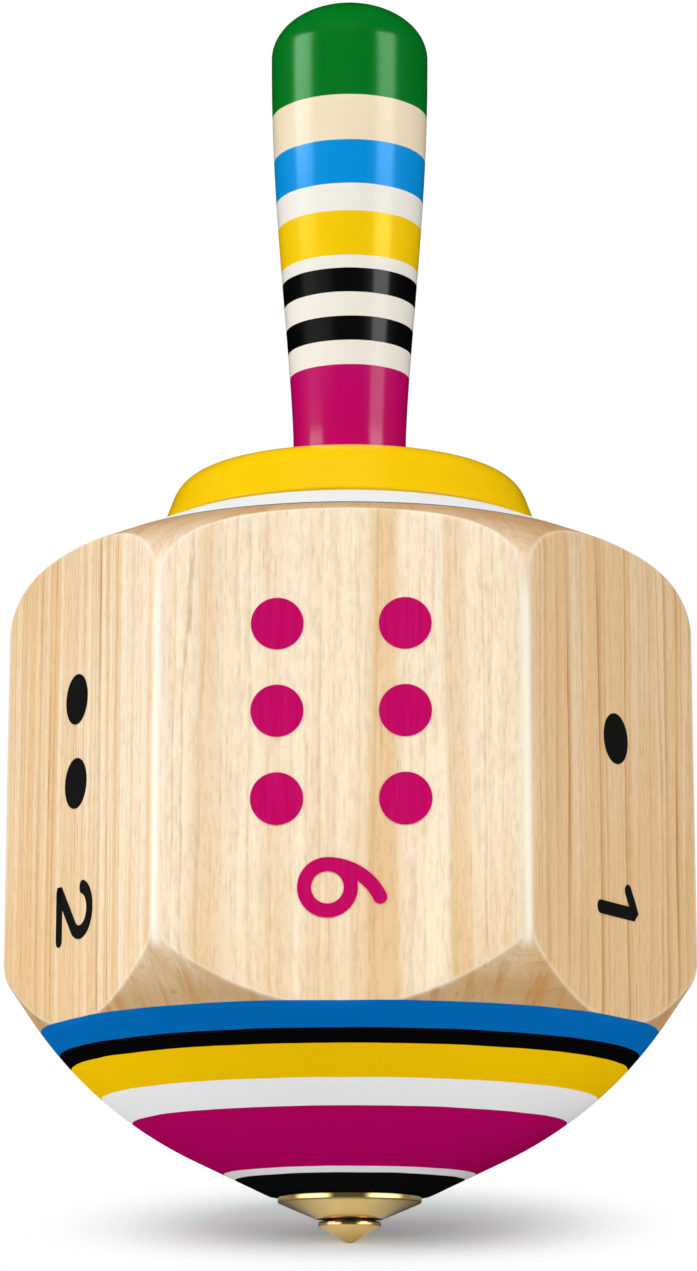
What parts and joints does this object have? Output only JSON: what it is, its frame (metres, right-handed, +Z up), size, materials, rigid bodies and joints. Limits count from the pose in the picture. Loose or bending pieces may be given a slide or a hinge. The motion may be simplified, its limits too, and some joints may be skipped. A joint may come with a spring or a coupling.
{
  "type": "teetotum spinning top",
  "caption": "Wooden spinning top with a six-sided body, a painted handle twirled between finger and thumb, a domed collar and a brass point; it falls on one flat to give a result.",
  "frame": {"origin": "tip of the brass point, on the spin axis, where the top touches the table", "axes": "+Z up the spin axis towards the handle; -Y is the outward normal of the front flat"},
  "size_m": [0.0434, 0.0378, 0.0804],
  "materials": {
    "brass": "turned and polished",
    "bare_wood": "sanded pale hardwood, with enamel rings on its underside and a white ring on its shoulder",
    "yellow_painted_wood": "gloss yellow enamel on turned wood",
    "painted_wood": "gloss enamel rings on turned wood, magenta at the foot and green at the top"
  },
  "bodies": {
    "point": {"brass_point": "brass"},
    "top": {"brass_ferrule": "brass", "hex_body": "bare_wood", "collar": "yellow_painted_wood", "handle": "painted_wood"}
  },
  "joints": [
    {"name": "spin", "type": "hinge", "parent": "point", "child": "top", "pos_m": [0, 0, 0], "axis": [0, 0, 1], "continuous": true}
  ]
}
